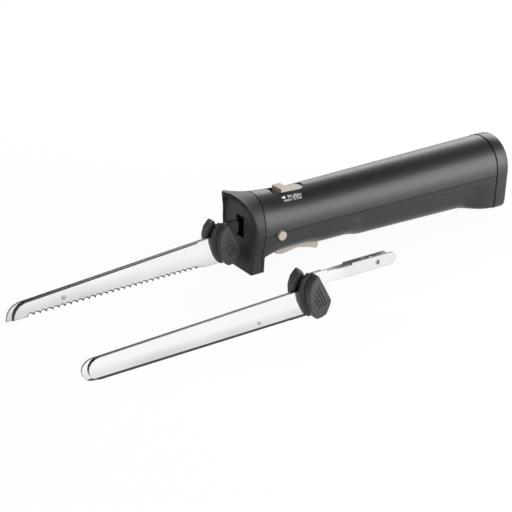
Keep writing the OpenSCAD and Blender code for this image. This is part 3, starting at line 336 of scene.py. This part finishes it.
# Print on the near upper flank: an arrow, the word for the push and the name of
# the switch in thin white ink, pad printed beside the safety slider.
white_ink = moulded_plastic("white_ink", (0.8, 0.8, 0.78), roughness=0.5, clouding=0.04,
                            patches=0.05, grain=4000, depth=0.02)
LETTER_STROKES = {
    "P": [[(0, 0), (0, 1), (0.7, 1), (1, 0.88), (1, 0.6), (0.7, 0.46), (0, 0.46)]],
    "U": [[(0, 1), (0, 0.2), (0.25, 0), (0.75, 0), (1, 0.2), (1, 1)]],
    "S": [[(1, 0.85), (0.75, 1), (0.25, 1), (0, 0.85), (0, 0.65), (0.25, 0.52), (0.75, 0.48),
           (1, 0.35), (1, 0.15), (0.75, 0), (0.25, 0), (0, 0.15)]],
    "H": [[(0, 0), (0, 1)], [(1, 0), (1, 1)], [(0, 0.5), (1, 0.5)]],
    "A": [[(0, 0), (0.5, 1), (1, 0)], [(0.2, 0.35), (0.8, 0.35)]],
    "F": [[(0, 0), (0, 1), (1, 1)], [(0, 0.5), (0.8, 0.5)]],
    "E": [[(1, 0), (0, 0), (0, 1), (1, 1)], [(0, 0.5), (0.8, 0.5)]],
    "T": [[(0, 1), (1, 1)], [(0.5, 1), (0.5, 0)]],
    "Y": [[(0, 1), (0.5, 0.5), (1, 1)], [(0.5, 0.5), (0.5, 0)]],
    "W": [[(0, 1), (0.22, 0), (0.5, 0.75), (0.78, 0), (1, 1)]],
    "I": [[(0.5, 0), (0.5, 1)]],
    "C": [[(1, 0.82), (0.75, 1), (0.25, 1), (0, 0.82), (0, 0.18), (0.25, 0), (0.75, 0),
           (1, 0.18)]],
}
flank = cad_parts["upper_housing"].data
flank_tree = BVHTree.FromPolygons([v.co for v in flank.vertices],
                                  [p.vertices for p in flank.polygons])
AXIS_HEIGHT = 0.030
OUTSIDE_REACH = 0.08
INK_LIFT = 0.00002
INK_THICKNESS = 0.00005
STROKE_STEP = 0.8
FLANK_RADIUS = 31


def on_flank(along, turn):
    """Point on the near flank: along in metres, turn in degrees from the top ridge."""
    slope = math.radians(turn)
    out = Vector((0, -math.sin(slope), math.cos(slope)))
    axis = Vector((along, 0, AXIS_HEIGHT))
    spot = flank_tree.ray_cast(axis + OUTSIDE_REACH * out, -out)[0]
    return spot + INK_LIFT * out


def ink_ribbon(mesh, points, width):
    """A stroke of ink through points, each given as millimetres along and up."""
    rows = []
    for i, here in enumerate(points):
        before = points[max(i - 1, 0)]
        after = points[min(i + 1, len(points) - 1)]
        ways = [(b - a).normalized() for a, b in ((before, here), (here, after)) if a != b]
        way = sum(ways, Vector((0, 0))).normalized()
        side = Vector((-way.y, way.x)) * width / 2 / max(way.dot(ways[0]), 0.5)
        rows.append([here + side, here - side])
    for a, b in zip(rows, rows[1:]):
        steps = max(1, round((b[0] - a[0]).length / STROKE_STEP))
        for k in range(steps):
            corners = [a[0].lerp(b[0], k / steps), a[0].lerp(b[0], (k + 1) / steps),
                       a[1].lerp(b[1], (k + 1) / steps), a[1].lerp(b[1], k / steps)]
            mesh.faces.new([mesh.verts.new((c.x, c.y, 0)) for c in corners])


def printed_line(name, shapes, along, turn):
    """Wraps flat ink shapes, drawn in millimetres, round the near flank."""
    for spot in shapes.verts:
        spot.co = on_flank(along + spot.co.x / 1000,
                           turn - math.degrees(spot.co.y / FLANK_RADIUS))
    bmesh.ops.remove_doubles(shapes, verts=shapes.verts, dist=2e-6)
    bmesh.ops.recalc_face_normals(shapes, faces=shapes.faces)
    mesh = bpy.data.meshes.new(name)
    shapes.to_mesh(mesh)
    shapes.free()
    ink = bpy.data.objects.new(name, mesh)
    bpy.context.scene.collection.objects.link(ink)
    mesh.materials.append(white_ink)
    body = ink.modifiers.new("ink_thickness", "SOLIDIFY")
    body.thickness = INK_THICKNESS
    body.offset = 0
    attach(ink, "handle")


def word(text, height, pitch, width):
    """Letters of ink strokes, drawn flat in millimetres from the left foot."""
    letters = bmesh.new()
    for i, letter in enumerate(text):
        for stroke in LETTER_STROKES.get(letter, []):
            points = [Vector((i * pitch + x * (pitch - 2.2 * width), y * height))
                      for x, y in stroke]
            ink_ribbon(letters, points, width)
    return letters


arrow = bmesh.new()
arrow.faces.new([arrow.verts.new(c) for c in ((0, 1.55, 0), (4.1, 0, 0), (4.1, 3.1, 0))])
printed_line("push_arrow", arrow, 0.0322, 27.5)
printed_line("push_word", word("PUSH", height=2.7, pitch=3.4, width=0.42), 0.0394, 27.5)
printed_line("switch_word", word("SAFETY SWITCH", height=1.7, pitch=1.4, width=0.27), 0.0338, 32.5)

# Controls: the trigger, the safety slider and the two release buttons are
# moulded in a warm grey, finely matt plastic.
warm_grey = moulded_plastic("warm_grey", (0.36, 0.318, 0.262), roughness=0.5, clouding=0.05,
                            patches=0.05, grain=1500, depth=0.12)
dress(warm_grey, 30, "trigger", "safety_slider", "release_button_left", "release_button_right",
      rounding=0.0004)
dress(warm_grey, 30, "switch_plunger")


# Blades: thin stainless strip, hollow ground towards the edge and polished to a
# mirror. Painted shade darkens the cut edges, spines and teeth and greys the grind.
def edge_shade_mask():
    """Mask for painted shade on the cut faces of a strip and on a narrow band along its edges."""
    group = bpy.data.node_groups.new("edge_shade_mask", "ShaderNodeTree")
    face = group.interface
    width = face.new_socket("Bevel width", in_out="INPUT", socket_type="NodeSocketFloat")
    width.default_value = 0.0006
    face.new_socket("Mask", in_out="OUTPUT", socket_type="NodeSocketFloat")
    given = group.nodes.new("NodeGroupInput")
    given.location = (-900, 0)
    put = group.nodes.new("NodeGroupOutput")
    put.location = (300, 0)
    bevel = new_node(group, "Bevel", (-700, 100))
    flat = new_node(group, "NewGeometry", (-700, -100))
    apart = new_node(group, "VectorMath", (-500, 0))
    apart.operation = "DOT_PRODUCT"
    rim = new_node(group, "MapRange", (-250, 50), From_Min=0.985, From_Max=0.9)
    own = new_node(group, "TexCoord", (-700, -350))
    parts = new_node(group, "SeparateXYZ", (-500, -350))
    across = new_node(group, "Math", (-350, -350))
    across.operation = "ABSOLUTE"
    cut = new_node(group, "MapRange", (-150, -350), From_Min=0.94, From_Max=0.88)
    both = new_node(group, "Math", (100, 0))
    both.operation = "MAXIMUM"
    link = group.links.new
    link(given.outputs["Bevel width"], bevel.inputs["Radius"])
    link(bevel.outputs[0], apart.inputs[0])
    link(flat.outputs["Normal"], apart.inputs[1])
    link(apart.outputs["Value"], rim.inputs["Value"])
    link(own.outputs["Normal"], parts.inputs[0])
    link(parts.outputs["Y"], across.inputs[0])
    link(across.outputs[0], cut.inputs["Value"])
    link(rim.outputs[0], both.inputs[0])
    link(cut.outputs[0], both.inputs[1])
    link(both.outputs[0], put.inputs["Mask"])
    return group


edges_group = edge_shade_mask()


BRIGHT_STEEL = (0.94, 0.94, 0.95)
# Near black steel for painted shade on cut faces, spines, edges and the tangs' inner sides.
DARK_SHADE_STEEL = (0.07, 0.07, 0.075)
# Share of the bright steel colour left where painted shade greys the hollow grind and the tangs.
PAINTED_SHADE_TONE = 0.62


def ground_steel(name, bevel, hollow, strip, inner, tang_from):
    """Mirror steel with painted shade: greyer from height hollow down, over the hollow grind, and
    dark below height strip, on its cut faces and along its edges; behind tang_from it is painted
    greyer, and darker still on the side that faces inner (+1 or -1 along Y), between the pair."""
    material, tree, out = blank_material(name)
    skin = new_node(tree, "BsdfPrincipled", (400, 0), Metallic=1.0)
    place = new_node(tree, "TexCoord", (-1300, 0))
    parts = new_node(tree, "SeparateXYZ", (-1100, 200))
    # Painted shade: greyer from height hollow down and behind tang_from, broken up in clouds.
    ground = new_node(tree, "MapRange", (-900, 200), From_Min=hollow, From_Max=hollow / 3)
    ground.interpolation_type = "SMOOTHSTEP"
    # Painted shade: a dark strip along the edge below height strip.
    edge_strip_shade = new_node(tree, "MapRange", (-900, -80), From_Min=strip + 0.0002,
                    From_Max=strip - 0.0001)
    draw = new_node(tree, "Mapping", (-1100, -300), Scale=(5.0, 260.0, 260.0))
    hair = new_node(tree, "TexNoise", (-900, -400), Scale=1.0, Detail=3.0)
    cloud = new_node(tree, "TexNoise", (-900, 500), Scale=18.0, Detail=2.0)
    grey = new_node(tree, "Math", (-700, 350))
    grey.operation = "MULTIPLY"
    shade = new_node(tree, "MapRange", (-500, 350), To_Min=0.0, To_Max=1.25)
    plain = new_node(tree, "Math", (-380, 350))
    plain.operation = "MAXIMUM"
    edges = placed_group(tree, edges_group, (-700, -150), Bevel_width=bevel)
    side = new_node(tree, "SeparateXYZ", (-1100, -550))
    inward = new_node(tree, "MapRange", (-900, -600), From_Min=0.4 * inner, From_Max=0.6 * inner)
    behind = new_node(tree, "MapRange", (-900, -850), From_Min=tang_from - 0.002,
                      From_Max=tang_from + 0.014, To_Max=0.32)
    # Painted shade: the tangs' inner sides, between the pair, go towards the dark steel.
    inner_tang_shade = new_node(tree, "Math", (-700, -600))
    inner_tang_shade.operation = "MULTIPLY"
    tang_and_edge_shade = new_node(tree, "Math", (-380, -300))
    tang_and_edge_shade.operation = "MAXIMUM"
    wear_and_edge_shade = new_node(tree, "Math", (-500, -80))
    wear_and_edge_shade.operation = "MAXIMUM"
    face = new_node(tree, "Mix", (-250, 200))
    face.data_type = "RGBA"
    # Painted shade: where the mask is on, the steel mixes towards the near black steel.
    body = new_node(tree, "Mix", (0, 100))
    body.data_type = "RGBA"
    painted_shade_grey = [PAINTED_SHADE_TONE * c for c in BRIGHT_STEEL]
    for mix, a, b in ((face, BRIGHT_STEEL, painted_shade_grey), (body, BRIGHT_STEEL, DARK_SHADE_STEEL)):
        mix.inputs[6].default_value = (*a, 1)
        mix.inputs[7].default_value = (*b, 1)
    rough = new_node(tree, "MapRange", (-250, -200), To_Min=0.09, To_Max=0.34)
    streak = new_node(tree, "Bump", (100, -300), Strength=0.12, Distance=0.00004)
    link = tree.links.new
    link(place.outputs["Object"], parts.inputs[0])
    link(place.outputs["Object"], cloud.inputs["Vector"])
    link(place.outputs["Object"], draw.inputs["Vector"])
    link(draw.outputs[0], hair.inputs["Vector"])
    link(parts.outputs["Z"], ground.inputs["Value"])
    link(parts.outputs["Z"], edge_strip_shade.inputs["Value"])
    link(cloud.outputs["Fac"], grey.inputs[0])
    link(ground.outputs[0], grey.inputs[1])
    link(grey.outputs[0], shade.inputs["Value"])
    link(shade.outputs[0], plain.inputs[0])
    link(behind.outputs[0], plain.inputs[1])
    link(plain.outputs[0], face.inputs[0])
    link(place.outputs["Normal"], side.inputs[0])
    link(side.outputs["Y"], inward.inputs["Value"])
    link(parts.outputs["X"], behind.inputs["Value"])
    link(inward.outputs[0], inner_tang_shade.inputs[0])
    link(behind.outputs[0], inner_tang_shade.inputs[1])
    link(inner_tang_shade.outputs[0], tang_and_edge_shade.inputs[0])
    link(edge_strip_shade.outputs[0], tang_and_edge_shade.inputs[1])
    link(edges.outputs["Mask"], wear_and_edge_shade.inputs[0])
    link(tang_and_edge_shade.outputs[0], wear_and_edge_shade.inputs[1])
    link(face.outputs[2], body.inputs[6])
    link(wear_and_edge_shade.outputs[0], body.inputs[0])
    link(wear_and_edge_shade.outputs[0], rough.inputs["Value"])
    link(body.outputs[2], skin.inputs["Base Color"])
    link(rough.outputs[0], skin.inputs["Roughness"])
    link(hair.outputs["Fac"], streak.inputs["Height"])
    link(streak.outputs[0], skin.inputs["Normal"])
    link(skin.outputs[0], out.inputs[0])
    return material


NO_STRIP = -1.0
TOOTHED = {"bevel": 0.0014, "hollow": 0.023, "strip": NO_STRIP, "tang_from": 0.0}
dress(ground_steel("toothed_steel_near", inner=1, **TOOTHED), 20, "blade_left")
dress(ground_steel("toothed_steel_far", inner=-1, **TOOTHED), 20, "blade_right")
PLAIN = {"bevel": 0.0006, "hollow": 0.012, "strip": 0.0021, "tang_from": 0.0145}
dress(ground_steel("plain_steel_near", inner=1, **PLAIN), 20, "spare_blade_left")
dress(ground_steel("plain_steel_far", inner=-1, **PLAIN), 20, "spare_blade_right")


# Ground facets of the toothed blades: the wheel that cuts the scallops leaves a
# narrow facet round each, and the spine a broken corner; thin near black sheets paint their shade.
def polished_steel(name, colour, roughness, streak, lines):
    """Metal drawn along X: its roughness swings by streak, and lines is the bump's strength."""
    material, tree, out = blank_material(name)
    skin = new_node(tree, "BsdfPrincipled", (300, 0), Metallic=1.0, Base_Color=(*colour, 1))
    place = new_node(tree, "TexCoord", (-900, 0))
    draw = new_node(tree, "Mapping", (-700, 0), Scale=(6.0, 900.0, 900.0))
    hair = new_node(tree, "TexNoise", (-500, 0), Scale=1.0, Detail=4.0)
    span = new_node(tree, "MapRange", (-250, 100), To_Min=roughness - streak,
                    To_Max=roughness + streak)
    bump = new_node(tree, "Bump", (0, -200), Strength=lines, Distance=0.00005)
    tree.links.new(place.outputs["Object"], draw.inputs["Vector"])
    tree.links.new(draw.outputs[0], hair.inputs["Vector"])
    tree.links.new(hair.outputs["Fac"], span.inputs["Value"])
    tree.links.new(span.outputs[0], skin.inputs["Roughness"])
    tree.links.new(hair.outputs["Fac"], bump.inputs["Height"])
    tree.links.new(bump.outputs[0], skin.inputs["Normal"])
    tree.links.new(skin.outputs[0], out.inputs[0])
    return material


# Painted shade: a near black steel for the sheets that stand for the facets.
painted_facet_shade = polished_steel("painted_facet_shade", (0.06, 0.06, 0.065), 0.3, 0.08, 0.3)
FACET_END = -0.0425
FACET_WIDTH = 0.0011
FACET_LIFT = 0.00003
FACET_THICKNESS = 0.00006
FRONT_FLANK_SHARE = 0.55
REAR_FLANK_EXTRA = 0.9
LONGEST_TOOTH_EDGE = 0.004
RIVET_CLEAR_X = 0.009
RIVET_CLEAR_Z = 0.0025


def ground_facets(blade, outward, name):
    """Thin near black sheets, painted shade for the facets along the outer rim of a blade, taken
    from the blade's own outline. They are widest on the rear flank of each scallop, and the rivet
    and the plain edge have none."""
    source = bmesh.new()
    source.from_mesh(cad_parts[blade].data)
    bmesh.ops.remove_doubles(source, verts=source.verts, dist=1e-6)
    source.normal_update()
    rim = []
    inward = {}
    rivet = sum(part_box("blade_rivet"), Vector()) / 2
    for edge in source.edges:
        if len(edge.link_faces) != 2:
            continue
        walls = sorted(edge.link_faces, key=lambda f: f.normal.y * outward)
        wall, face = walls
        if face.normal.y * outward < 0.9 or abs(wall.normal.y) > 0.6:
            continue
        middle = (edge.verts[0].co + edge.verts[1].co) / 2
        beside_rivet = (abs(middle.x - rivet.x) < RIVET_CLEAR_X
                        and abs(middle.z - rivet.z) < RIVET_CLEAR_Z)
        plain_edge = wall.normal.z < -0.9 and edge.calc_length() > LONGEST_TOOTH_EDGE
        if min(v.co.x for v in edge.verts) > FACET_END or beside_rivet or plain_edge:
            continue
        rim.append(edge)
        for spot in edge.verts:
            inward.setdefault(spot.index, Vector()).__iadd__(-wall.normal * edge.calc_length())
    facets = bmesh.new()
    lift = Vector((0, outward * FACET_LIFT, 0))
    for edge in rim:
        a, b = edge.verts
        if b.co.x < a.co.x:
            a, b = b, a
        kept = min(1.0, (FACET_END - a.co.x) / max(b.co.x - a.co.x, 1e-6))
        ends = [a.co, a.co.lerp(b.co, kept)]
        quad = [spot + lift for spot in ends]
        for spot, at in ((b, ends[1]), (a, ends[0])):
            way = Vector((inward[spot.index].x, 0, inward[spot.index].z)).normalized()
            rear = FRONT_FLANK_SHARE + REAR_FLANK_EXTRA * max(way.x, 0.0)
            quad.append(at + lift + way * FACET_WIDTH * (1.0 if way.z < 0 else rear))
        facets.faces.new([facets.verts.new(c) for c in quad])
    bmesh.ops.remove_doubles(facets, verts=facets.verts, dist=2e-6)
    bmesh.ops.recalc_face_normals(facets, faces=facets.faces)
    source.free()
    mesh = bpy.data.meshes.new(name)
    facets.to_mesh(mesh)
    facets.free()
    mesh.materials.append(painted_facet_shade)
    piece = bpy.data.objects.new(name, mesh)
    bpy.context.scene.collection.objects.link(piece)
    plate = piece.modifiers.new("facet_thickness", "SOLIDIFY")
    plate.thickness = FACET_THICKNESS
    plate.offset = 0
    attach(piece, blade)


ground_facets("blade_left", -1, "facet_shade_near")
ground_facets("blade_right", 1, "facet_shade_far")

# Rivets that hold each pair of blades together: headed steel pins, duller
# than the blades.
dull_steel = polished_steel("dull_steel", (0.42, 0.42, 0.43), 0.35, 0.08, 0.3)
dress(dull_steel, 30, "blade_rivet", "spare_rivet")

# Blade grips: finger pads moulded on to each blade in dark grey plastic with
# slanted grooves.
pad_grey = moulded_plastic("pad_grey", (0.026, 0.026, 0.031), roughness=0.46, clouding=0.08,
                           patches=0.05, grain=1500, depth=0.12)
dress(pad_grey, 30, "blade_grip_left", "blade_grip_right", "spare_grip_left", "spare_grip_right",
      rounding=0.0006)

# Charging socket: a dark moulded barrel in the end cap with a turned brass
# contact pin in the middle of its bore.
brass = polished_steel("turned_brass", (0.78, 0.6, 0.28), 0.3, 0.08, 0.3)
socket_low, socket_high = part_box("charging_socket")
PIN_PROFILE = [(0.0, 0.0), (0.0011, 0.0), (0.0011, 0.0052), (0.0009, 0.0060), (0.0005, 0.0065),
               (0.0, 0.0066)]
PIN_FOOT = 0.0105
PIN_SIDES = 24
turned = bmesh.new()
outline = [turned.verts.new((along, radius, 0)) for radius, along in PIN_PROFILE]
rim = [turned.edges.new(pair) for pair in zip(outline, outline[1:])]
bmesh.ops.spin(turned, geom=outline + rim, cent=(0, 0, 0), axis=(1, 0, 0),
               angle=2 * math.pi, steps=PIN_SIDES)
bmesh.ops.remove_doubles(turned, verts=turned.verts, dist=1e-6)
bmesh.ops.recalc_face_normals(turned, faces=turned.faces)
pin_mesh = bpy.data.meshes.new("socket_contact")
turned.to_mesh(pin_mesh)
turned.free()
pin_mesh.materials.append(brass)
contact = bpy.data.objects.new("socket_contact", pin_mesh)
contact.location = (socket_high.x - PIN_FOOT, 0, (socket_low.z + socket_high.z) / 2)
bpy.context.scene.collection.objects.link(contact)
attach(contact, "handle")

# Drive and battery inside the handle: a motor, a worm and its wheel, two
# carriers, the cells, and the small steel pieces that hold them.
cast_metal = polished_steel("cast_metal", (0.5, 0.51, 0.52), 0.5, 0.1, 0.6)
dress(cast_metal, 30, "gear_frame")
dress(dull_steel, 30, "motor_can", "wheel_axle", "trigger_pin", "housing_screws", "slider_spring",
      "button_spring_left", "button_spring_right", "latch_spring_left",
      "latch_spring_right")
nylon = moulded_plastic("natural_nylon", (0.72, 0.7, 0.64), roughness=0.45, clouding=0.05,
                        patches=0.05, grain=900, depth=0.08)
dress(nylon, 30, "worm", "worm_wheel", "carrier_left", "carrier_right")
copper = polished_steel("wound_copper", (0.72, 0.38, 0.2), 0.4, 0.1, 0.8)
dress(copper, 30, "motor_rotor")
bronze = polished_steel("sintered_bronze", (0.6, 0.42, 0.2), 0.45, 0.1, 0.4)
dress(bronze, 30, "worm_bush")
sleeve_blue = moulded_plastic("sleeve_blue", (0.05, 0.16, 0.32), roughness=0.3, clouding=0.05,
                              patches=0.05, grain=800, depth=0.05)
dress(sleeve_blue, 30, "battery_cells")
dress(matt_dark, 30, "battery_holder", "micro_switch", "charging_socket")
board_green = moulded_plastic("board_green", (0.02, 0.14, 0.06), roughness=0.3, clouding=0.1,
                              patches=0.05, grain=700, depth=0.05)
dress(board_green, 30, "charge_board")

# Trigger return spring: a coil of steel wire between the trigger and the shelf
# above it, drawn at one length; on the knife the trigger presses it as it swings up.
coil = bpy.data.objects.new("pressed_spring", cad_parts["trigger_spring"].data.copy())
coil.data.materials.clear()
coil.data.materials.append(dull_steel)
bpy.context.scene.collection.objects.link(coil)
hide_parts("trigger_spring")
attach(coil, "handle")
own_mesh(coil)
